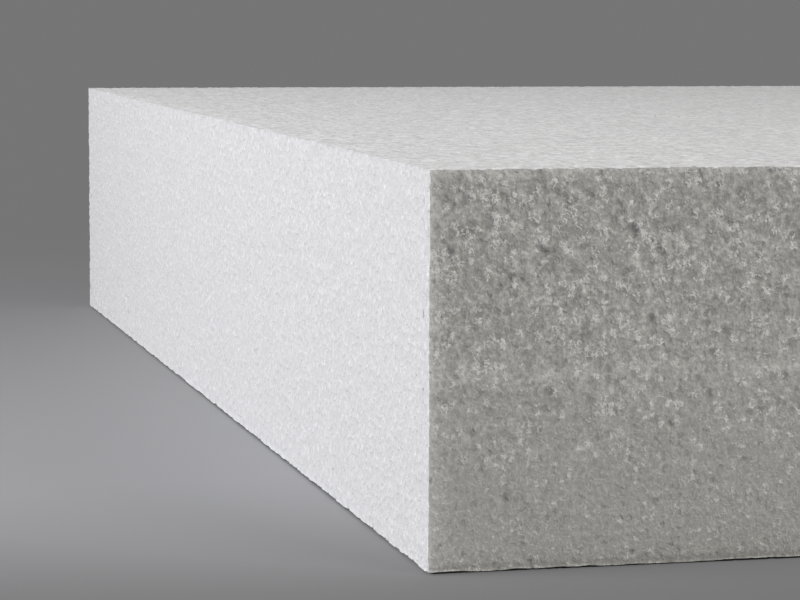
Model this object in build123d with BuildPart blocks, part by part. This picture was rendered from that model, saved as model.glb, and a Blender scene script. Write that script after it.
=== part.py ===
"""A rigid block of white bead foam, one sawn piece lying flat on its base.

Lengths are in millimetres. X runs along the rough front face, Y from front to back and Z up.
The origin is on the base, under the middle of the block, and the front face looks along -Y.
"""

import os

from build123d import *

# Overall size of the block
block_width = 300.0
block_depth = 500.0
block_height = 80.0

# The front was sawn in two passes: the upper one went deeper and left a shallow sloping ledge
ledge_height = 39.4
ledge_rise = 2.4
ledge_depth = 0.4

# Sawn arrises are crisp, and the edges that the block stands on are pressed round
arris_radius = 0.4
base_radius = 1.5

# Lost beads leave round hollows, sunk under the face by a share of their own radius
bead_diameter = 2.2
hollow_sink_share = 0.3

# Each hollow: its place along the face, its place across the face, its radius over the bead's diameter
front_hollow_shares = [
    (0.013, 0.796, 0.55),
    (0.055, 0.731, 0.50),
    (0.077, 0.792, 0.70),
    (0.137, 0.840, 0.75),
    (0.152, 0.625, 0.50),
    (0.081, 0.447, 0.60),
    (0.193, 0.431, 0.45),
    (0.166, 0.356, 0.40),
    (0.051, 0.188, 0.45),
    (0.140, 0.038, 0.35),
    (0.044, 0.022, 0.30),
    (0.069, 0.024, 0.35),
]
top_hollow_shares = [
    (0.286, 0.244, 0.45),
    (0.445, 0.467, 0.55),
]
left_hollow_shares = [
    (0.817, 0.158, 0.50),
]

# Places that follow from the sizes above
left_x = -block_width / 2
front_y = -block_depth / 2
upper_front_y = front_y + ledge_depth
ledge_bottom = ledge_height - ledge_rise / 2
ledge_top = ledge_height + ledge_rise / 2


def hollow_radius(size_share):
    """The radius of the ball that a hollow is cut with."""
    return bead_diameter * size_share


def front_face_y(height):
    """Where the front face stands at a height that is clear of the ledge."""
    return upper_front_y if height > ledge_height else front_y


with BuildPart() as foam_block:
    # The section from front to back, ledge and all, drawn out to the block's width
    with BuildSketch(Plane.YZ):
        with BuildLine():
            Polyline(
                (front_y, 0),
                (-front_y, 0),
                (-front_y, block_height),
                (upper_front_y, block_height),
                (upper_front_y, ledge_top),
                (front_y, ledge_bottom),
                close=True,
            )
        make_face()
    extrude(amount=block_width / 2, both=True)

    # Edges: the corners first, then the top, then the ones underneath
    corner_edges = foam_block.edges().filter_by(Axis.X, reverse=True).filter_by(Axis.Y, reverse=True)
    fillet(corner_edges, radius=arris_radius)
    fillet(foam_block.edges().group_by(Axis.Z)[-1], radius=arris_radius)
    fillet(foam_block.edges().group_by(Axis.Z)[0], radius=base_radius)

    # Hollows left by lost beads, on the front, the top and the left side
    for along_share, up_share, size_share in front_hollow_shares:
        radius = hollow_radius(size_share)
        height = block_height * up_share
        sunk_y = front_face_y(height) + radius * hollow_sink_share
        with Locations((left_x + block_width * along_share, sunk_y, height)):
            Sphere(radius, mode=Mode.SUBTRACT)
    for along_share, back_share, size_share in top_hollow_shares:
        radius = hollow_radius(size_share)
        sunk_z = block_height - radius * hollow_sink_share
        with Locations((left_x + block_width * along_share, front_y + block_depth * back_share, sunk_z)):
            Sphere(radius, mode=Mode.SUBTRACT)
    for back_share, up_share, size_share in left_hollow_shares:
        radius = hollow_radius(size_share)
        sunk_x = left_x + radius * hollow_sink_share
        with Locations((sunk_x, front_y + block_depth * back_share, block_height * up_share)):
            Sphere(radius, mode=Mode.SUBTRACT)

foam_block.part.label = "foam_block"

os.makedirs("parts", exist_ok=True)
export_step(foam_block.part, "parts/foam_block.step")
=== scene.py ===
"""The looks of a rigid block of white bead foam, laid out as an add-on and run as a script.

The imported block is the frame. A fine shell takes its place: its mesh is closest along the arrises, on the
torn front and round the hollows, and Geometry Nodes press the ledge, the bead relief and the wear into it.
Lengths are in metres, in the block's own frame: the front looks along -Y and the base lies on Z = 0.
"""

import math

import bpy
from bpy.props import FloatProperty, FloatVectorProperty, IntProperty, PointerProperty
from mathutils import Matrix, Vector


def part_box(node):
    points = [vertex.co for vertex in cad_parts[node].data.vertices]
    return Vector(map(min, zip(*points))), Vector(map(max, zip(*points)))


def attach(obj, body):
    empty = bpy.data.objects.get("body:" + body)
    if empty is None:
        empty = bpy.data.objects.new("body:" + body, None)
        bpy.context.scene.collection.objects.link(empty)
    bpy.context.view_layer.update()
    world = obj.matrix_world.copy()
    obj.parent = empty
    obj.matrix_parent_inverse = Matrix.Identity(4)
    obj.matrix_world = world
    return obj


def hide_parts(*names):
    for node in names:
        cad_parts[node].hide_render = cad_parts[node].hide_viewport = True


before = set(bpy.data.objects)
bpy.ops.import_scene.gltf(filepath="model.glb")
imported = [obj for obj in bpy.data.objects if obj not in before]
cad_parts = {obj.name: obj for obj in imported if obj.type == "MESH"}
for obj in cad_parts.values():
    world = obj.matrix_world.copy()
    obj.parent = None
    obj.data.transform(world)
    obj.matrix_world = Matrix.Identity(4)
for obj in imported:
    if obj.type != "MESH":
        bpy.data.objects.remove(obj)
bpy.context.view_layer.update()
BLOCK_LOW, BLOCK_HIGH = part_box("foam_block")
BLOCK_SIZE = BLOCK_HIGH - BLOCK_LOW

bl_info = {
    "name": "Foam Block",
    "version": (1, 0, 0),
    "blender": (4, 5, 0),
    "location": "3D View > Sidebar > Foam",
    "description": "Dresses a block of bead foam and sets its studio",
    "category": "Object",
}

MILLIMETRE = 0.001

# The shell's cells: the block is laid out in root cells, which halve towards fine places, down to one unit
ROOT_CELL = 0.010
UNITS_IN_ROOT = 32
EDGE_UNITS = 2
HOLLOW_UNITS = 1
CELL_GROWTH = 0.5

# Largest cell on each side, in units
SIDE_UNITS = {"front": 4, "back": 16, "left": 8, "right": 16, "bottom": 32, "top": 16}
NEAR_FRONT_UNITS = 2
NEAR_FRONT_REACH_SHARE = 0.29

# Each side of the shell: its two running axes, its fixed axis, which end it is at, and if its winding turns
SIDES = {
    "front": (0, 2, 1, 0, False),
    "back": (0, 2, 1, 1, True),
    "left": (1, 2, 0, 0, True),
    "right": (1, 2, 0, 1, False),
    "bottom": (0, 1, 2, 0, True),
    "top": (0, 1, 2, 1, False),
}

# Hollows left by lost beads, and one wide dent low on the front: side, place along it, place across it,
# radius in bead widths, depth over radius
HOLLOWS = [
    ("front", 0.013, 0.796, 0.60, 0.50),
    ("front", 0.055, 0.731, 0.55, 0.45),
    ("front", 0.077, 0.792, 0.75, 0.50),
    ("front", 0.137, 0.840, 0.80, 0.45),
    ("front", 0.152, 0.625, 0.55, 0.50),
    ("front", 0.081, 0.447, 0.65, 0.45),
    ("front", 0.193, 0.431, 0.50, 0.50),
    ("front", 0.166, 0.356, 0.45, 0.60),
    ("front", 0.108, 0.369, 1.05, 0.12),
    ("front", 0.051, 0.188, 0.50, 0.55),
    ("front", 0.140, 0.038, 0.38, 0.60),
    ("front", 0.044, 0.022, 0.33, 0.60),
    ("front", 0.069, 0.024, 0.38, 0.60),
    ("top", 0.286, 0.244, 0.48, 0.60),
    ("top", 0.445, 0.467, 0.58, 0.60),
    ("left", 0.817, 0.158, 0.53, 0.60),
]

# Swells round a hollow's outline: how many, how high over the radius, and a turn that grows with the radius
HOLLOW_SWELLS = [(2.0, 0.14, 3.0), (3.0, 0.09, 5.0)]
HOLLOW_STEEPNESS = 1.5

# The sheet that the shell unfolds to: the sides' scales and the gap between them
FRONT_ZOOM_SHARE = 1.6
BASE_ZOOM_SHARE = 0.5
BACK_ZOOM_SHARE = 0.8
SHEET_GAP = 0.006

# How much detail a noise has, and the middle that it varies about
NO_DETAIL = 0.0
SOME_DETAIL = 1.0
MORE_DETAIL = 2.0
NOISE_MIDDLE = 0.5

# The cut beads, in bead widths, with the ranges that patterns are eased over
BEAD_SCATTER = 0.85
BEAD_SPACING = 0.85
BEAD_WANDER = (0.5, 0.30)
BEAD_INSIDE = (0.0, 0.34)
RIDGE_RANGE = (0.46, 0.72)
CUP_LOTS = (0.65, 0.95)
DOME_LOTS = (0.40, 0.10)
CLUMP_SIZE = 1.3

# The relief that is pressed into the shell, with the weight of each pattern
FRONT_REACH = (0.7 * MILLIMETRE, 4.0 * MILLIMETRE)
TORN_HEIGHTS = (0.012, 0.064)
ROUGH_SIZE = 0.9
RELIEF_CUP = 0.35
RELIEF_DOME = -0.30
RELIEF_ROUGH = -1.6
RELIEF_CLUMPS = -1.0
RELIEF_LIFT = 1.8

# Worn arrises: how far the relief is calmed beside them, and the bites out of them
ARRIS_REACH = 0.01 * MILLIMETRE
CALM_REACH = 1.5 * MILLIMETRE
CALM_SHARE = 0.3
NIBBLE_REACH = 1.6 * MILLIMETRE
NIBBLE_SIZE = 0.6
NIBBLE_RANGE = (0.40, 0.72)

# The pressed foot of the block: a thin chipped lip over a dark gap, and a slight waist above it
LIP_HEIGHT = EDGE_UNITS * ROOT_CELL / UNITS_IN_ROOT
LIP_CRISPNESS = 0.20
PRESS_LENGTH = 7.0 * MILLIMETRE
PRESS_RANGE = (0.35, 0.65)
LOWEST_PRESS = 0.80
HIGHEST_PRESS = 1.15
PRESS_TOP = 3.0 * LIP_HEIGHT
WAIST_DEPTH = 0.22 * MILLIMETRE
WAIST_LOW = 2.0 * LIP_HEIGHT
WAIST_HIGH = 4.0 * LIP_HEIGHT
SAG_SIZE = 2.4 * MILLIMETRE
SAG_RANGE = (0.3, 0.7)
CHIP_DEPTH = 0.35 * MILLIMETRE
CHIP_SIZE = 1.1 * MILLIMETRE
CHIP_RANGE = (0.50, 0.70)

# Where the material takes a point to be on the front, or on the level top
FACE_REACH = (1.0 * MILLIMETRE, 1.6 * MILLIMETRE)
LEVEL_RANGE = (0.6, 0.9)

# Sizes of the foam's marks, in bead widths
FINE_SIZE = 0.20
FLECK_SIZE = 0.42
PATCH_SIZE = 1.1
SCRAP_SIZE = 0.78
SCRAP_WANDER = (0.30, 0.70)
STRAND_SIZE = 0.55
STRAND_WANDER = (0.4, 0.5)
SEAM_BREAK_SIZE = 0.28
LIP_BREAK_SIZE = 1.2
GRAIN_ROUGHNESS = 0.6
FLECK_DETAIL = 1.5

# Ranges that the marks are eased over
PATCH_RANGE = (0.35, 0.65)
CRUMB_RANGE = (0.42, 0.66)
PIT_SHADE_RANGE = (0.28, 0.45)
SCRAP_REACH = (0.20, 0.82)
HILL_REACH = (0.0, 0.75)
SPECK_REACH = (0.08, 0.42)
SCRAP_LOTS = (0.70, 0.78)
SPECK_LOTS = (0.55, 0.75)
PINHOLE_LOTS = (0.12, 0.24)
STRAND_WIDTH = (0.0, 0.05)
BRANCH_WIDTH = (0.015, 0.085)
BRANCH_GROUND = 0.10
SEAM_WIDTH = (0.0, 0.20)
SEAM_BREAK_RANGE = (0.46, 0.60)
RIDGE_KEPT_RANGE = (0.35, 0.65)
PATCH_IN_HIGHLIGHT = 0.5
LEAST_HIGHLIGHT = 0.25

# How much each mark lightens the foam, or darkens it: on the sides, the top, the sawn and the torn front.
# Crumbs, strands, scraps and domes are lightened as painted highlights, cups, pits and pinholes darkened as
# painted shade; rims, ridges, specks and patches are the foam's own tone
TONE_WEIGHTS = {
    "rim": (0.16, 0.16, 0.52, 0.25),
    "kept_ridge": (0.10, 0.10, 0.0, 0.10),
    "bright": (0.12, 0.12, 0.35, 0.80),
    "strand_highlight": (0.0, 0.0, 0.12, 0.70),
    "scrap_highlight": (0.25, 0.70, 0.10, 6.5),
    "speck": (0.60, 0.90, 1.15, 0.30),
    "pinhole": (0.0, 0.0, -1.10, -0.70),
    "patch": (0.10, 0.55, 0.0, 0.20),
    "dome": (0.0, 0.0, 0.0, 0.30),
    "cup": (-0.10, -0.10, -0.06, -0.80),
    "pit_shade": (-0.06, -0.06, -0.28, -0.24),
}

# How high each mark stands as bump, in millimetres, on the same four parts, and the strength of it all
BUMP_WEIGHTS = {
    "fine": (0.03, 0.03, 0.08, 0.12),
    "flecks": (0.11, 0.11, 0.18, 0.36),
    "hill": (0.0, 0.0, 0.05, 0.28),
    "speck": (0.0, 0.0, 0.06, 0.0),
    "pinhole": (0.0, 0.0, -0.10, -0.10),
    "rim": (0.06, 0.06, 0.06, 0.0),
    "ridge": (0.10, 0.10, 0.0, 0.0),
    "cup": (-0.12, -0.12, -0.05, -0.06),
    "clumps": (0.40, 0.80, 0.0, 0.0),
}
BUMP_STRENGTHS = (0.76, 0.82, 1.0, 1.0)

# Tones of whole parts of the block: the front and its torn part painted darker as shade in their small pores,
# the level top darker, a painted highlight on the ledge, and painted shade in the hollows, darker as they
# deepen, most on the top
FRONT_SHADE_TONE = -0.68
TORN_SHADE_TONE = -0.16
TOP_TONE = -0.32
LEDGE_HIGHLIGHT_TONE = 0.18
LEDGE_CORE_SHARE = 0.3
HOLLOW_SHADE_TONE = -0.70
TOP_HOLLOW_SHADE_TONE = -2.00
SHADED_HOLLOW_DEPTH = 0.5 * MILLIMETRE

# Painted light and shade of the foot, by the height over the lip's own height: shade in the gap under the
# lip, a highlight on the lip, and shade on the waist above it
GAP_SHADE_SHARES = (0.80, 1.00)
LIP_HIGHLIGHT_SHARES = (1.10, 1.60)
LIP_BREAK_RANGE = (0.46, 0.62)
LIP_HIGHLIGHT_TONE = 1.0
WAIST_SHADE_TONE = -0.45
WAIST_SHADE_START = (1.3 * LIP_HEIGHT, 1.9 * LIP_HEIGHT)
WAIST_SHADE_END = (2.2 * LIP_HEIGHT, 3.6 * LIP_HEIGHT)

# Painted glow: the front's colour lightened beside its arrises, standing in for light that passes through the
# foam there
SIDE_GLOW_REACH = 7.0 * MILLIMETRE
SIDE_GLOW_TONE = 0.85
TOP_GLOW_REACH = 4.5 * MILLIMETRE
TOP_GLOW_TONE = 1.10
GLOW_POWER = 3.0

# The matt sheen of the foam and of the floor
FOAM_SPECULAR = 0.3
FOAM_ROUGHNESS = (0.62, 0.86)
ROUGHNESS_RANGE = (0.3, 0.7)
FLOOR_SPECULAR = 0.2
FLOOR_ROUGHNESS = 0.75
FLOOR_REACH = 30.0

# Painted pools of light on the floor, for the camera: each round a centre, and how far it reaches before it
# has faded
PAINTED_LIGHT_POOLS = [
    ((-0.17, -0.15, 0.0), 0.00, 0.70),
    ((-0.17, 0.10, 0.0), 0.22, 0.42),
]

# The softboxes: their place, what they look at, their width and height, and their colour
SOFTBOXES = {
    "key": ((-1.15, -0.08, 0.60), (-0.15, -0.08, 0.04), (0.3, 0.9), (0.99, 0.988, 1.03)),
    "top": ((-0.80, 0.05, 1.35), (-0.10, -0.05, 0.04), (0.8, 0.8), (0.985, 0.99, 1.03)),
    "front": ((1.00, -1.70, 1.15), (0.0, -0.25, 0.04), (1.0, 1.0), (1.0, 0.975, 0.885)),
    "back": ((1.60, 1.40, 0.55), (0.05, 0.05, 0.04), (1.4, 1.2), (1.0, 1.0, 1.0)),
}

# The camera, from the block's near left corner on the floor
CAMERA_OFFSET = Vector((-0.1368, -0.5326, 0.1129))
CAMERA_YAW = math.radians(-13.81)
CAMERA_PITCH = math.radians(6.06)
CAMERA_ROLL = math.radians(0.271)
CAMERA_LENS = 127.9
CAMERA_CLIP_START = 0.01
SENSOR_WIDTH = 36.0


def length_setting(name, description, default):
    """A length that the panel shows."""
    return FloatProperty(name=name, description=description, default=default, unit="LENGTH", precision=5)


def power_setting(name, description, default):
    """A lamp's power that the panel shows."""
    return FloatProperty(name=name, description=description, default=default, unit="POWER")


def colour_setting(name, description, default):
    """A colour that the panel shows."""
    return FloatVectorProperty(name=name, description=description, default=default, subtype="COLOR", size=3)


class FoamBlockSettings(bpy.types.PropertyGroup):
    """Sizes and colours of the foam."""

    bead_size: length_setting("Bead Size", "Width of one foam bead", 0.0022)
    torn_depth: length_setting("Torn Depth", "Depth of the rough upper front", 0.00080)
    sawn_depth: length_setting("Sawn Depth", "Depth of the smoother lower front", 0.00011)
    grain_depth: length_setting("Grain Depth", "Depth of the other faces' grain", 0.00020)
    nibble_depth: length_setting("Nibble Depth", "Depth of the wear along arrises", 0.00032)
    ledge_height: length_setting("Ledge Height", "Height of the ledge on the front", 0.0394)
    ledge_rise: length_setting("Ledge Rise", "Height that the ledge slopes over", 0.0024)
    ledge_depth: length_setting("Ledge Depth", "How far the upper front is set back", 0.0004)
    base_radius: length_setting("Base Radius", "How far the foot turns under its lip", 0.0015)
    seed: IntProperty(name="Seed", description="Offsets the bead pattern", default=7)
    bead_colour: colour_setting("Bead Colour", "Colour of the cut beads", (0.72, 0.72, 0.718))
    # The colour that darkened tones go towards: painted shade in cups, pits, pinholes, hollows, the waist and
    # the front, and the darker top
    dark_and_shade_colour: colour_setting("Dark And Shade Colour", "Colour of the darkest foam", (0.45, 0.45, 0.446))
    # Painted shade: the gap under the lip is painted this near black
    gap_shade_colour: colour_setting("Gap Shade Colour", "Colour of the gap under the lip", (0.03, 0.03, 0.03))
    # The colour that lightened tones go towards: the pale seams, and painted highlights on crumbs, strands,
    # scraps, domes, the ledge, the lip and the glowing arrises
    seam_and_highlight_colour: colour_setting("Seam And Highlight Colour", "Colour of the palest foam", (0.96, 0.96, 0.96))


class FoamStageSettings(bpy.types.PropertyGroup):
    """Floor, backdrop and light of the studio."""

    floor_colour: colour_setting("Floor Colour", "Colour of the plain floor", (0.365, 0.365, 0.372))
    backdrop_colour: colour_setting(
        "Backdrop Colour", "Colour that the far floor fades into", (0.180, 0.180, 0.183)
    )
    sky_colour: colour_setting("Sky Colour", "Colour of the light all round", (0.10, 0.098, 0.094))
    key_power: power_setting("Key Power", "Power of the side softbox", 10.5)
    top_power: power_setting("Top Power", "Power of the overhead softbox", 7.0)
    front_power: power_setting("Front Power", "Power of the front softbox", 20.0)
    back_power: power_setting("Back Power", "Power of the rear softbox", 5.0)


RELIEF_INPUTS = {
    "Bead Size": "bead_size",
    "Torn Depth": "torn_depth",
    "Sawn Depth": "sawn_depth",
    "Grain Depth": "grain_depth",
    "Nibble Depth": "nibble_depth",
    "Ledge Height": "ledge_height",
    "Ledge Rise": "ledge_rise",
    "Ledge Depth": "ledge_depth",
    "Base Radius": "base_radius",
    "Seed": "seed",
}


def add_node(tree, kind, settings=None, inputs=None):
    """Adds a node, sets its properties, and links or sets its inputs by number or name."""
    node = tree.nodes.new(kind)
    for name, value in (settings or {}).items():
        setattr(node, name, value)
    for key, value in (inputs or {}).items():
        put(tree, node.inputs[key], value)
    return node


def put(tree, socket, value):
    """Links another socket to an input, or sets its value."""
    if isinstance(value, bpy.types.NodeSocket):
        tree.links.new(value, socket)
    else:
        socket.default_value = value


def maths(tree, operation, *values):
    """The result of a Math node on sockets or numbers."""
    return add_node(tree, "ShaderNodeMath", {"operation": operation}, dict(enumerate(values))).outputs[0]


def times(tree, first, second):
    """The product of two numbers."""
    return maths(tree, "MULTIPLY", first, second)


def eased(tree, value, start, end, low=0.0, high=1.0):
    """The value eased from low at start to high at end, and held beyond them."""
    node = add_node(
        tree,
        "ShaderNodeMapRange",
        {"interpolation_type": "SMOOTHSTEP"},
        {"Value": value, "From Min": start, "From Max": end, "To Min": low, "To Max": high},
    )
    return node.outputs[0]


def faded(tree, value, start, end):
    """1 up to the start, easing to 0 at the end."""
    return eased(tree, value, start, end, 1.0, 0.0)


def parts_of(tree, vector):
    """The three parts of a vector."""
    return add_node(tree, "ShaderNodeSeparateXYZ", inputs={0: vector}).outputs


def joined(tree, x, y, z):
    """A vector from three parts."""
    return add_node(tree, "ShaderNodeCombineXYZ", inputs={0: x, 1: y, 2: z}).outputs[0]


def shifted(tree, vector, other):
    """The sum of two vectors."""
    return add_node(tree, "ShaderNodeVectorMath", {"operation": "ADD"}, {0: vector, 1: other}).outputs[0]


def scaled(tree, vector, factor):
    """A vector times a number."""
    node = add_node(tree, "ShaderNodeVectorMath", {"operation": "SCALE"}, {0: vector, "Scale": factor})
    return node.outputs[0]


def noise_node(tree, place, size, detail, roughness=0.5):
    """A noise node whose features are about as large as size."""
    return add_node(
        tree,
        "ShaderNodeTexNoise",
        inputs={"Vector": place, "Scale": 1.0 / size, "Detail": detail, "Roughness": roughness},
    )


def noise(tree, place, size, detail, roughness=0.5):
    """A noise from 0 to 1 whose features are about as large as size."""
    return noise_node(tree, place, size, detail, roughness).outputs[0]


def voronoi(tree, place, size, feature="F1"):
    """A cell pattern whose cells are about as wide as size."""
    node = add_node(
        tree,
        "ShaderNodeTexVoronoi",
        {"feature": feature, "voronoi_dimensions": "3D"},
        {"Vector": place, "Scale": 1.0 / size, "Randomness": BEAD_SCATTER},
    )
    return node.outputs


def wandering(tree, place, size, reach):
    """The place moved about by a noise of that size, so that cell outlines aren't straight."""
    lot = noise_node(tree, place, size, SOME_DETAIL).outputs["Color"]
    centred = shifted(tree, lot, (-NOISE_MIDDLE, -NOISE_MIDDLE, -NOISE_MIDDLE))
    return shifted(tree, place, scaled(tree, centred, reach))


def weighted(tree, pairs):
    """The sum of values, each times its weight."""
    total = 0.0
    for value, weight in pairs:
        total = maths(tree, "MULTIPLY_ADD", value, weight, total)
    return total


def mix_of(tree, data_type, socket_type, share, low, high):
    """What lies a share of the way from low to high, as numbers or as colours."""
    node = add_node(tree, "ShaderNodeMix", {"data_type": data_type}, {"Factor": share})
    for key, value in (("A", low), ("B", high)):
        put(tree, next(s for s in node.inputs if s.name == key and s.type == socket_type), value)
    return next(s for s in node.outputs if s.type == socket_type)


def mixed(tree, share, low, high):
    """The number that lies a share of the way from low to high."""
    return mix_of(tree, "FLOAT", "VALUE", share, low, high)


def blended(tree, share, low, high):
    """The colour that lies a share of the way from low to high."""
    return mix_of(tree, "RGBA", "RGBA", share, low, high)


def opaque(colour):
    """A colour with full alpha."""
    return (*colour, 1.0)


class BeadPattern:
    """Cut beads side by side: cups and domes in some of them, ridges where they meet, and clumps of them."""

    def __init__(self, tree, beads):
        spot = wandering(tree, beads, *BEAD_WANDER)
        cells = voronoi(tree, spot, BEAD_SPACING)
        lot = parts_of(tree, cells["Color"])[0]
        self.seam_gap = voronoi(tree, spot, BEAD_SPACING, "DISTANCE_TO_EDGE")["Distance"]
        inside = eased(tree, self.seam_gap, *BEAD_INSIDE)
        self.ridge = eased(tree, cells["Distance"], *RIDGE_RANGE)
        self.cup = times(tree, inside, eased(tree, lot, *CUP_LOTS))
        self.dome = times(tree, inside, eased(tree, lot, *DOME_LOTS))
        self.clumps = noise(tree, beads, CLUMP_SIZE, SOME_DETAIL)


class ShellSide:
    """One side of the block, split into square cells that get finer towards what they have to show."""

    def __init__(self, name, units, hollows):
        self.name = name
        self.along, self.across, self.fixed, end, self.turned = SIDES[name]
        self.level = units[self.fixed] * end
        self.width = units[self.along]
        self.height = units[self.across]
        self.hollows = hollows
        self.cells = []
        self.points = set()
        self.split()

    def largest(self, u, v, size):
        """The largest cell that may lie here, in units."""
        edge_gap = min(u, v, self.width - u - size, self.height - v - size)
        if edge_gap == 0:
            return EDGE_UNITS
        limit = min(SIDE_UNITS[self.name], EDGE_UNITS + edge_gap * CELL_GROWTH)
        if self.name == "front":
            beyond = max(0.0, u - self.width * NEAR_FRONT_REACH_SHARE)
            limit = min(limit, NEAR_FRONT_UNITS + beyond * CELL_GROWTH)
        for centre_u, centre_v, radius, _ in self.hollows:
            gap_u = max(u - centre_u, 0.0, centre_u - u - size)
            gap_v = max(v - centre_v, 0.0, centre_v - v - size)
            gap = max(0.0, math.hypot(gap_u, gap_v) - radius)
            limit = min(limit, HOLLOW_UNITS + gap * CELL_GROWTH)
        return limit

    def split(self):
        """Halves the root cells until each is small enough, and keeps their corners."""
        waiting = [
            (u, v, UNITS_IN_ROOT)
            for u in range(0, self.width, UNITS_IN_ROOT)
            for v in range(0, self.height, UNITS_IN_ROOT)
        ]
        while waiting:
            u, v, size = waiting.pop()
            if size > self.largest(u, v, size):
                half = size // 2
                waiting += [(u + du, v + dv, half) for du in (0, half) for dv in (0, half)]
                continue
            self.cells.append((u, v, size))
            self.points.update(((u, v), (u + size, v), (u + size, v + size), (u, v + size)))

    def outline(self, u, v, size):
        """A cell's corners in order, with the corners of finer neighbours that lie on its sides."""
        ring = [(u + i, v) for i in range(size)]
        ring += [(u + size, v + i) for i in range(size)]
        ring += [(u + size - i, v + size) for i in range(size)]
        ring += [(u, v + size - i) for i in range(size)]
        found = [point for point in ring if point in self.points]
        return found[::-1] if self.turned else found

    def spot(self, u, v):
        """The point's place in the block, in units."""
        place = [0, 0, 0]
        place[self.along] = u
        place[self.across] = v
        place[self.fixed] = self.level
        return tuple(place)


def shell_mesh(settings):
    """The block's shell as a flat-sided mesh, with the gap to the nearest arris and each hollow's depth."""
    units = [round(length / ROOT_CELL) * UNITS_IN_ROOT for length in BLOCK_SIZE]
    steps = [length / count for length, count in zip(BLOCK_SIZE, units)]
    index = {}
    faces = []
    corners = []
    hollow_depths = {}
    for name in SIDES:
        along, across = SIDES[name][:2]
        hollows = [
            (a * units[along], b * units[across], settings.bead_size * r / steps[along], deep)
            for where, a, b, r, deep in HOLLOWS
            if where == name
        ]
        side = ShellSide(name, units, hollows)
        for cell in side.cells:
            ring = side.outline(*cell)
            faces.append([index.setdefault(side.spot(u, v), len(index)) for u, v in ring])
            corners += [sheet_place(name, u / side.width, v / side.height) for u, v in ring]
        for u, v in side.points:
            depth = max((hollow_depth(u - a, v - b, r, deep) for a, b, r, deep in hollows), default=0.0)
            if depth > 0.0:
                hollow_depths[index[side.spot(u, v)]] = depth * steps[along]
    places = [[low + i * step for low, i, step in zip(BLOCK_LOW, spot, steps)] for spot in index]
    mesh = bpy.data.meshes.new("foam_shell")
    mesh.from_pydata(places, [], faces)
    sheet = mesh.uv_layers.new(name="OFBake")
    sheet.data.foreach_set("uv", [value for corner in corners for value in corner])
    gaps = mesh.attributes.new("edge_gap", "FLOAT", "POINT")
    gaps.data.foreach_set("value", [arris_gap(place) for place in places])
    hollow = mesh.attributes.new("hollow_depth", "FLOAT", "POINT")
    hollow.data.foreach_set("value", [hollow_depths.get(i, 0.0) for i in range(len(places))])
    return mesh


def hollow_depth(du, dv, radius, deep):
    """Depth of an uneven round hollow at an offset from its middle, in the radius's own units."""
    turn = math.atan2(dv, du)
    uneven = 1.0 + sum(high * math.sin(count * turn + shift * radius) for count, high, shift in HOLLOW_SWELLS)
    reach = math.hypot(du, dv) / (radius * uneven)
    return radius * deep * math.cos(reach * math.pi / 2) ** HOLLOW_STEEPNESS if reach < 1.0 else 0.0


def arris_gap(place):
    """Distance along the surface from a point of the shell to the nearest arris."""
    gaps = [min(value - low, high - value) for value, low, high in zip(place, BLOCK_LOW, BLOCK_HIGH)]
    return sorted(gaps)[1]


def sheet_layout():
    """Where each side lies on the unfolded sheet: left, bottom, width, height, and if it is stood on end."""
    wide, deep, high = BLOCK_SIZE
    places = {"top": (0.0, 0.0, wide, deep, False)}
    left = wide + SHEET_GAP
    for name in ("left", "right"):
        places[name] = (left, 0.0, high, deep, True)
        left += high + SHEET_GAP
    places["bottom"] = (left, 0.0, wide * BASE_ZOOM_SHARE, deep * BASE_ZOOM_SHARE, False)
    places["back"] = (left, deep * BASE_ZOOM_SHARE + SHEET_GAP, high, wide * BACK_ZOOM_SHARE, True)
    up = deep + SHEET_GAP
    places["front"] = (0.0, up, wide * FRONT_ZOOM_SHARE, high * FRONT_ZOOM_SHARE, False)
    width = max(x + w for x, y, w, h, stood in places.values())
    height = max(y + h for x, y, w, h, stood in places.values())
    return places, width, height


SHEET, SHEET_WIDTH, SHEET_HEIGHT = sheet_layout()


def sheet_place(name, along_share, across_share):
    """A point's place on the unfolded sheet, from 0 to 1 each way."""
    x, y, width, height, stood = SHEET[name]
    if stood:
        along_share, across_share = across_share, along_share
    return (x + width * along_share) / SHEET_WIDTH, (y + height * across_share) / SHEET_HEIGHT


def named_value(tree, name):
    """A float that the shell carries at each point."""
    node = add_node(tree, "GeometryNodeInputNamedAttribute", {"data_type": "FLOAT"}, {"Name": name})
    return node.outputs["Attribute"]


def position(tree):
    """The place of each point of the shell."""
    return add_node(tree, "GeometryNodeInputPosition").outputs[0]


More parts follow.
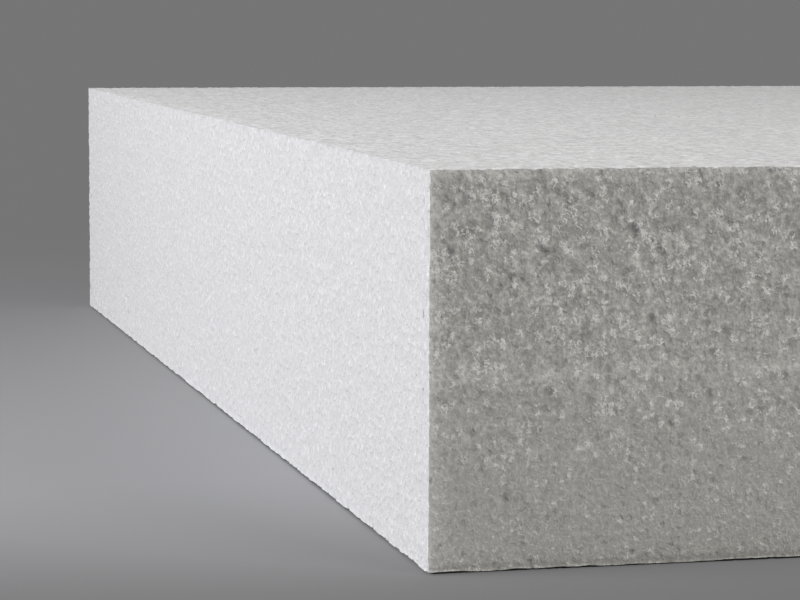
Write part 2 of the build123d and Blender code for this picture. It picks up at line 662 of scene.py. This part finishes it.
def relief_tree(material):
    """The node tree that presses the ledge, the bead relief and the wear into the shell."""
    tree = bpy.data.node_groups.new("foam_relief", "GeometryNodeTree")
    tree.interface.new_socket("Geometry", in_out="INPUT", socket_type="NodeSocketGeometry")
    for name in RELIEF_INPUTS:
        tree.interface.new_socket(name, in_out="INPUT", socket_type="NodeSocketFloat")
    tree.interface.new_socket("Geometry", in_out="OUTPUT", socket_type="NodeSocketGeometry")
    given = add_node(tree, "NodeGroupInput").outputs
    pressed = pressed_shell(tree, given, formed_shell(tree, given))
    smooth = add_node(tree, "GeometryNodeSetShadeSmooth", inputs={"Geometry": pressed}).outputs[0]
    on_arris = maths(tree, "LESS_THAN", named_value(tree, "edge_gap"), ARRIS_REACH)
    off_lip = maths(tree, "ABSOLUTE", maths(tree, "SUBTRACT", lip_share(tree, position(tree)), 1.0))
    on_lip = maths(tree, "LESS_THAN", off_lip, LIP_CRISPNESS)
    crisp = add_node(
        tree,
        "GeometryNodeSetShadeSmooth",
        {"domain": "EDGE"},
        {"Geometry": smooth, "Selection": maths(tree, "MAXIMUM", on_arris, on_lip), "Shade Smooth": False},
    ).outputs[0]
    whole = add_node(tree, "GeometryNodeRealizeInstances", inputs={"Geometry": crisp}).outputs[0]
    dressed = add_node(tree, "GeometryNodeSetMaterial", inputs={"Geometry": whole, "Material": material})
    add_node(tree, "NodeGroupOutput", inputs={"Geometry": dressed.outputs[0]})
    return tree


def front_share(tree, y, reach):
    """1 on the front face, fading to 0 behind it between the two ends of the reach."""
    start, end = reach
    return faded(tree, y, BLOCK_LOW.y + start, BLOCK_LOW.y + end)


def torn_share(tree, front, z):
    """0 low on the front, where the saw left it smooth, growing to 1 high up, where it tore the beads."""
    return times(tree, front, eased(tree, z, *TORN_HEIGHTS))


def foot_press(tree, place):
    """The lip's height here over its usual height, which rises and falls along the foot."""
    x, y = parts_of(tree, place)[:2]
    swell = noise(tree, joined(tree, x, y, 0.0), PRESS_LENGTH, SOME_DETAIL)
    return eased(tree, swell, *PRESS_RANGE, LOWEST_PRESS, HIGHEST_PRESS)


def lip_share(tree, place):
    """The height here over the lip's own height: 1 on the lip, less in the gap under it."""
    lip_height = times(tree, foot_press(tree, place), LIP_HEIGHT)
    return maths(tree, "DIVIDE", parts_of(tree, place)[2], lip_height)


def shrunk(tree, value, inset, size):
    """A place across the block, moved towards the middle so that its faces go in by the inset."""
    return times(tree, value, maths(tree, "SUBTRACT", 1.0, maths(tree, "DIVIDE", inset, size / 2)))


def foot_inset(tree, place, base_radius):
    """How far the sides go in near the floor: under the lip, at its chips and at the waist."""
    z = parts_of(tree, place)[2]
    under = eased(tree, z, 0.0, LIP_HEIGHT, base_radius, 0.0)
    above_lip = eased(tree, z, LIP_HEIGHT, WAIST_LOW)
    waist = times(tree, above_lip, faded(tree, z, WAIST_LOW, WAIST_HIGH))
    sag = eased(tree, noise(tree, place, SAG_SIZE, MORE_DETAIL), *SAG_RANGE)
    chips = eased(tree, noise(tree, place, CHIP_SIZE, MORE_DETAIL), *CHIP_RANGE, 0.0, CHIP_DEPTH)
    chipped = times(tree, chips, maths(tree, "SUBTRACT", 1.0, above_lip))
    inset = maths(tree, "MULTIPLY_ADD", times(tree, waist, sag), WAIST_DEPTH, under)
    return maths(tree, "ADD", inset, chipped)


def formed_shell(tree, given):
    """The shell with its lower edges turned under a lip and the upper front set back."""
    place = position(tree)
    x, y, z = parts_of(tree, place)
    inset = foot_inset(tree, place, given["Base Radius"])
    half_rise = maths(tree, "DIVIDE", given["Ledge Rise"], 2.0)
    ledge_start = maths(tree, "SUBTRACT", given["Ledge Height"], half_rise)
    ledge_end = maths(tree, "ADD", given["Ledge Height"], half_rise)
    set_back = times(tree, eased(tree, z, ledge_start, ledge_end), given["Ledge Depth"])
    set_back = times(tree, set_back, front_share(tree, y, FRONT_REACH))
    formed_y = maths(tree, "ADD", shrunk(tree, y, inset, BLOCK_SIZE.y), set_back)
    formed_z = times(tree, z, eased(tree, z, LIP_HEIGHT, PRESS_TOP, foot_press(tree, place), 1.0))
    formed = joined(tree, shrunk(tree, x, inset, BLOCK_SIZE.x), formed_y, formed_z)
    moved = add_node(
        tree, "GeometryNodeSetPosition", inputs={"Geometry": given["Geometry"], "Position": formed}
    )
    return moved.outputs[0]


def pressed_shell(tree, given, formed):
    """The formed shell, pressed in along its normals by the bead relief, the worn arrises and the hollows."""
    place = position(tree)
    offset = joined(tree, given["Seed"], given["Seed"], given["Seed"])
    beads = scaled(tree, shifted(tree, place, offset), maths(tree, "DIVIDE", 1.0, given["Bead Size"]))
    y, z = parts_of(tree, place)[1:]
    pattern = BeadPattern(tree, beads)
    patterns = [
        (pattern.cup, RELIEF_CUP),
        (pattern.dome, RELIEF_DOME),
        (noise(tree, beads, ROUGH_SIZE, NO_DETAIL), RELIEF_ROUGH),
        (pattern.clumps, RELIEF_CLUMPS),
    ]
    sunk = maths(tree, "ADD", weighted(tree, patterns), RELIEF_LIFT)
    sunk = add_node(tree, "ShaderNodeClamp", inputs={0: sunk}).outputs[0]
    front = front_share(tree, y, FRONT_REACH)
    depth = mixed(tree, front, given["Grain Depth"], given["Sawn Depth"])
    depth = mixed(tree, torn_share(tree, front, z), depth, given["Torn Depth"])
    gap = named_value(tree, "edge_gap")
    depth = times(tree, depth, times(tree, sunk, eased(tree, gap, 0.0, CALM_REACH, CALM_SHARE, 1.0)))
    wear = noise(tree, beads, NIBBLE_SIZE, MORE_DETAIL, GRAIN_ROUGHNESS)
    bites = times(tree, faded(tree, gap, 0.0, NIBBLE_REACH), eased(tree, wear, *NIBBLE_RANGE))
    depth = maths(tree, "MULTIPLY_ADD", bites, given["Nibble Depth"], depth)
    depth = maths(tree, "ADD", depth, named_value(tree, "hollow_depth"))
    depth = times(tree, depth, eased(tree, z, LIP_HEIGHT / 2, WAIST_LOW))
    normal = add_node(tree, "GeometryNodeInputNormal").outputs[0]
    inward = scaled(tree, normal, times(tree, depth, -1.0))
    moved = add_node(tree, "GeometryNodeSetPosition", inputs={"Geometry": formed, "Offset": inward})
    return moved.outputs[0]


class FoamMarks(BeadPattern):
    """The marks of the foam's surface, each of them from 0 to about 1."""

    def __init__(self, tree, beads):
        super().__init__(tree, beads)
        self.fine = noise(tree, beads, FINE_SIZE, SOME_DETAIL, GRAIN_ROUGHNESS)
        self.flecks = noise(tree, beads, FLECK_SIZE, FLECK_DETAIL, GRAIN_ROUGHNESS)
        self.patch = eased(tree, noise(tree, beads, PATCH_SIZE, SOME_DETAIL), *PATCH_RANGE)
        # Painted shade in the pits where the flecks are lowest
        self.pit_shade = faded(tree, self.flecks, *PIT_SHADE_RANGE)
        crumbs = eased(tree, self.flecks, *CRUMB_RANGE)
        # Painted highlight on the crumbs, strongest on patches and domes
        lit = maths(tree, "MULTIPLY_ADD", self.patch, PATCH_IN_HIGHLIGHT, self.dome)
        self.bright = times(tree, crumbs, maths(tree, "ADD", lit, LEAST_HIGHLIGHT))
        broken = eased(tree, noise(tree, beads, SEAM_BREAK_SIZE, SOME_DETAIL), *SEAM_BREAK_RANGE)
        self.rim = times(tree, faded(tree, self.seam_gap, *SEAM_WIDTH), broken)
        self.kept_ridge = times(tree, self.ridge, eased(tree, self.clumps, *RIDGE_KEPT_RANGE))
        field = noise(tree, wandering(tree, beads, *STRAND_WANDER), STRAND_SIZE, NO_DETAIL)
        off_strand = maths(tree, "ABSOLUTE", maths(tree, "SUBTRACT", field, NOISE_MIDDLE))
        # Painted highlight along the strands
        self.strand_highlight = times(tree, faded(tree, off_strand, *STRAND_WIDTH), crumbs)
        self.add_scraps(tree, beads, off_strand)

    def add_scraps(self, tree, beads, off_strand):
        """Torn scraps with branches, the hills they stand on, and the finer specks and pinholes."""
        cells = voronoi(tree, wandering(tree, beads, *SCRAP_WANDER), SCRAP_SIZE)
        away = cells["Distance"]
        lot = parts_of(tree, cells["Color"])[0]
        torn_off = eased(tree, lot, *SCRAP_LOTS)
        branched = eased(tree, off_strand, *BRANCH_WIDTH, 1.0, BRANCH_GROUND)
        # Painted highlight on the torn scraps
        self.scrap_highlight = times(tree, times(tree, faded(tree, away, *SCRAP_REACH), torn_off), branched)
        self.hill = times(tree, faded(tree, away, *HILL_REACH), torn_off)
        dot = faded(tree, away, *SPECK_REACH)
        self.speck = times(tree, dot, eased(tree, lot, *SPECK_LOTS))
        # The pinholes: sunk as bump, and painted dark as shade
        self.pinhole = times(tree, dot, faded(tree, lot, *PINHOLE_LOTS))


def foam_zones(tree, place):
    """Shares of the block's parts at a point: its level top, its front, and the torn part of the front."""
    y, z = parts_of(tree, place)[1:]
    facing = add_node(tree, "ShaderNodeNewGeometry").outputs["Normal"]
    front = front_share(tree, y, FACE_REACH)
    return eased(tree, parts_of(tree, facing)[2], *LEVEL_RANGE), front, torn_share(tree, front, z)


def graded(tree, zones, values):
    """A number that differs over the block: on the sides, the top, the sawn and the torn front."""
    result = values[0]
    for share, value in zip(zones, values[1:]):
        if value != result:
            result = mixed(tree, share, result, value)
    return result


def painted_edge_glow(tree, gap, reach):
    """1 on an arris, dying away over the reach: where a glow is painted, standing in for light that passes
    where the foam is thin.
    """
    share = maths(tree, "SUBTRACT", 1.0, maths(tree, "DIVIDE", gap, reach))
    return maths(tree, "POWER", maths(tree, "MAXIMUM", share, 0.0), GLOW_POWER)


def front_tones(tree, settings, place, beads, lip_height_share):
    """Painted light and shade on the front as a whole: a glow beside its arrises, a highlight on its ledge,
    shade at its waist and a highlight on its lip.
    """
    x, y, z = parts_of(tree, place)
    side_gap = maths(tree, "SUBTRACT", BLOCK_SIZE.x / 2, maths(tree, "ABSOLUTE", x))
    top_gap = maths(tree, "SUBTRACT", BLOCK_HIGH.z, z)
    off_ledge = maths(tree, "ABSOLUTE", maths(tree, "SUBTRACT", z, settings.ledge_height))
    lip_highlight_bits = eased(tree, noise(tree, beads, LIP_BREAK_SIZE, MORE_DETAIL), *LIP_BREAK_RANGE)
    return [
        # Painted glow beside the front's side and top arrises
        (painted_edge_glow(tree, side_gap, SIDE_GLOW_REACH), SIDE_GLOW_TONE),
        (painted_edge_glow(tree, top_gap, TOP_GLOW_REACH), TOP_GLOW_TONE),
        # Painted highlight along the ledge
        (faded(tree, off_ledge, LEDGE_CORE_SHARE * settings.ledge_rise, settings.ledge_rise), LEDGE_HIGHLIGHT_TONE),
        # Painted shade on the waist, and a painted highlight on the lip, broken in places
        (times(tree, eased(tree, z, *WAIST_SHADE_START), faded(tree, z, *WAIST_SHADE_END)), WAIST_SHADE_TONE),
        (times(tree, faded(tree, lip_height_share, *LIP_HIGHLIGHT_SHARES), lip_highlight_bits), LIP_HIGHLIGHT_TONE),
    ]


def foam_colour(tree, settings, place, beads, marks, zones):
    """The foam's colour: the beads' own, towards the palest foam and painted highlights, towards the darkest
    foam and painted shade, and painted near black as shade in the gap under the lip.
    """
    level, front, torn = zones
    lip_height_share = lip_share(tree, place)
    sunken = add_node(tree, "ShaderNodeAttribute", {"attribute_name": "hollow_depth"}).outputs["Fac"]
    # Painted shade in the hollows, darker as they deepen
    hollow = eased(tree, sunken, 0.0, SHADED_HOLLOW_DEPTH)
    pairs = [(getattr(marks, name), graded(tree, zones, row)) for name, row in TONE_WEIGHTS.items()]
    # Painted shade on the front and its torn part; the level top darker
    pairs += [(front, FRONT_SHADE_TONE), (torn, TORN_SHADE_TONE), (level, TOP_TONE)]
    pairs += [(hollow, mixed(tree, level, HOLLOW_SHADE_TONE, TOP_HOLLOW_SHADE_TONE))]
    for value, weight in front_tones(tree, settings, place, beads, lip_height_share):
        pairs.append((times(tree, front, value), weight))
    tone = weighted(tree, pairs)
    pale = maths(tree, "MAXIMUM", tone, 0.0)
    dark = maths(tree, "MAXIMUM", times(tree, tone, -1.0), 0.0)
    # Lighter tones go towards the pale seams and painted highlights, darker ones towards painted shade
    colour = blended(tree, pale, opaque(settings.bead_colour), opaque(settings.seam_and_highlight_colour))
    colour = blended(tree, dark, colour, opaque(settings.dark_and_shade_colour))
    # Painted shade: the gap under the lip turns near black
    return blended(tree, faded(tree, lip_height_share, *GAP_SHADE_SHARES), colour, opaque(settings.gap_shade_colour))


def foam_material(settings):
    """White bead foam: cut beads, paler seams between them, torn scraps, fine cells, painted highlights and
    shade, and a matt sheen.
    """
    material = bpy.data.materials.new("bead_foam")
    material.use_nodes = True
    tree = material.node_tree
    shader = tree.nodes["Principled BSDF"]
    shader.inputs["Specular IOR Level"].default_value = FOAM_SPECULAR
    place = add_node(tree, "ShaderNodeTexCoord").outputs["Object"]
    seeded = shifted(tree, place, (settings.seed, settings.seed, settings.seed))
    beads = scaled(tree, seeded, 1.0 / settings.bead_size)
    marks = FoamMarks(tree, beads)
    zones = foam_zones(tree, place)
    colour = foam_colour(tree, settings, place, beads, marks, zones)
    tree.links.new(colour, shader.inputs["Base Color"])
    rough = eased(tree, marks.fine, *ROUGHNESS_RANGE, *FOAM_ROUGHNESS)
    tree.links.new(rough, shader.inputs["Roughness"])
    pairs = [(getattr(marks, name), graded(tree, zones, row)) for name, row in BUMP_WEIGHTS.items()]
    height = times(tree, weighted(tree, pairs), graded(tree, zones, BUMP_STRENGTHS))
    bump = add_node(
        tree, "ShaderNodeBump", inputs={"Height": height, "Strength": 1.0, "Distance": MILLIMETRE}
    )
    tree.links.new(bump.outputs[0], shader.inputs["Normal"])
    return material


def seen_directly(tree):
    """1 for what the camera sees, straight or in gloss and glass, and 0 for light that falls on things."""
    path = add_node(tree, "ShaderNodeLightPath").outputs
    mirrored = maths(tree, "MAXIMUM", path["Is Glossy Ray"], path["Is Transmission Ray"])
    return maths(tree, "MAXIMUM", path["Is Camera Ray"], mirrored)


def floor_material(settings):
    """A plain matt floor that, to the camera, fades into the backdrop's colour away from painted pools of
    light.
    """
    material = bpy.data.materials.new("floor_grey")
    material.use_nodes = True
    tree = material.node_tree
    shader = tree.nodes["Principled BSDF"]
    shader.inputs["Base Color"].default_value = opaque(settings.floor_colour)
    shader.inputs["Roughness"].default_value = FLOOR_ROUGHNESS
    shader.inputs["Specular IOR Level"].default_value = FLOOR_SPECULAR
    place = add_node(tree, "ShaderNodeTexCoord").outputs["Object"]
    outside_painted_pools = 0.0
    for centre, start, end in PAINTED_LIGHT_POOLS:
        away = add_node(tree, "ShaderNodeVectorMath", {"operation": "DISTANCE"}, {0: place, 1: centre})
        outside_painted_pools = maths(tree, "MAXIMUM", outside_painted_pools, eased(tree, away.outputs["Value"], start, end))
    # Painted light: outside the pools the camera sees the backdrop's colour, not the lit floor
    hidden = times(tree, outside_painted_pools, seen_directly(tree))
    painted_far_floor = add_node(tree, "ShaderNodeEmission", inputs={"Color": opaque(settings.backdrop_colour)})
    mix = add_node(tree, "ShaderNodeMixShader", inputs={0: hidden, 1: shader.outputs[0], 2: painted_far_floor.outputs[0]})
    tree.links.new(mix.outputs[0], tree.nodes["Material Output"].inputs["Surface"])
    return material


def studio_world(settings):
    """A dim sky that lights the block evenly, and shows the backdrop's colour to the camera."""
    world = bpy.data.worlds.new("studio")
    world.use_nodes = True
    tree = world.node_tree
    sky, backdrop = opaque(settings.sky_colour), opaque(settings.backdrop_colour)
    colour = blended(tree, seen_directly(tree), sky, backdrop)
    tree.links.new(colour, tree.nodes["Background"].inputs["Color"])
    return world


class FOAM_OT_build_block(bpy.types.Operator):
    """Make the foam block's shell with its relief and finish"""

    bl_idname = "foam.build_block"
    bl_label = "Build Foam Block"

    def execute(self, context):
        settings = context.scene.foam_block
        material = foam_material(settings)
        draft = bpy.data.objects.new("foam_draft", shell_mesh(settings))
        context.scene.collection.objects.link(draft)
        tree = relief_tree(material)
        relief = draft.modifiers.new("relief", "NODES")
        relief.node_group = tree
        for item in tree.interface.items_tree:
            if item.name in RELIEF_INPUTS:
                relief[item.identifier] = float(getattr(settings, RELIEF_INPUTS[item.name]))
        context.view_layer.update()
        graph = context.evaluated_depsgraph_get()
        mesh = bpy.data.meshes.new_from_object(draft.evaluated_get(graph), depsgraph=graph)
        draft.modifiers.remove(relief)
        bpy.data.objects.remove(draft)
        mesh.name = "foam_block_skin"
        piece = bpy.data.objects.new("foam_block_skin", mesh)
        context.scene.collection.objects.link(piece)
        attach(piece, "root")
        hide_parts("foam_block")
        return {"FINISHED"}


def add_camera(context):
    """The camera at the photograph's place, turned by its yaw, pitch and roll."""
    camera = bpy.data.objects.new("camera", bpy.data.cameras.new("camera"))
    context.scene.collection.objects.link(camera)
    camera.data.lens = CAMERA_LENS
    camera.data.sensor_width = SENSOR_WIDTH
    camera.data.clip_start = CAMERA_CLIP_START
    turn = (
        Matrix.Rotation(CAMERA_YAW, 4, "Z")
        @ Matrix.Rotation(math.pi / 2 - CAMERA_PITCH, 4, "X")
        @ Matrix.Rotation(CAMERA_ROLL, 4, "Z")
    )
    camera.matrix_world = Matrix.Translation(Vector(BLOCK_LOW) + CAMERA_OFFSET) @ turn
    context.scene.camera = camera


def add_softbox(context, name, power):
    """A soft rectangular lamp that looks at its target."""
    place, target, size, colour = SOFTBOXES[name]
    lamp = bpy.data.lights.new(f"{name}_softbox", "AREA")
    lamp.shape = "RECTANGLE"
    lamp.size, lamp.size_y = size
    lamp.energy = power
    lamp.color = colour
    box = bpy.data.objects.new(f"{name}_softbox", lamp)
    context.scene.collection.objects.link(box)
    box.location = place
    box.rotation_euler = (Vector(target) - Vector(place)).to_track_quat("-Z", "Y").to_euler()
    box.visible_camera = False


class FOAM_OT_build_stage(bpy.types.Operator):
    """Set the floor, the light and the camera"""

    bl_idname = "foam.build_stage"
    bl_label = "Build Stage"

    def execute(self, context):
        settings = context.scene.foam_stage
        ground = bpy.data.meshes.new("floor")
        corners = [(x * FLOOR_REACH, y * FLOOR_REACH, 0.0) for x, y in ((-1, -1), (1, -1), (1, 1), (-1, 1))]
        ground.from_pydata(corners, [], [(0, 1, 2, 3)])
        floor = bpy.data.objects.new("floor", ground)
        context.scene.collection.objects.link(floor)
        ground.materials.append(floor_material(settings))
        context.scene.world = studio_world(settings)
        for name in SOFTBOXES:
            add_softbox(context, name, getattr(settings, f"{name}_power"))
        add_camera(context)
        context.scene.view_settings.view_transform = "Standard"
        return {"FINISHED"}


class FOAM_PT_panel(bpy.types.Panel):
    """Lists the foam block's steps and values"""

    bl_idname = "FOAM_PT_panel"
    bl_label = "Foam Block"
    bl_space_type = "VIEW_3D"
    bl_region_type = "UI"
    bl_category = "Foam"

    def draw(self, context):
        for group, operator in (
            (context.scene.foam_block, FOAM_OT_build_block),
            (context.scene.foam_stage, FOAM_OT_build_stage),
        ):
            column = self.layout.column()
            for name in group.__annotations__:
                column.prop(group, name)
            column.operator(operator.bl_idname)


CLASSES = (FoamBlockSettings, FoamStageSettings, FOAM_OT_build_block, FOAM_OT_build_stage, FOAM_PT_panel)


def register():
    """Adds the classes and the scene's settings."""
    for kind in CLASSES:
        bpy.utils.register_class(kind)
    bpy.types.Scene.foam_block = PointerProperty(type=FoamBlockSettings)
    bpy.types.Scene.foam_stage = PointerProperty(type=FoamStageSettings)


def unregister():
    """Takes the settings and the classes away again."""
    del bpy.types.Scene.foam_stage
    del bpy.types.Scene.foam_block
    for kind in reversed(CLASSES):
        bpy.utils.unregister_class(kind)


def main():
    register()
    bpy.ops.foam.build_block()
    bpy.ops.foam.build_stage()


if __name__ == "__main__":
    main()
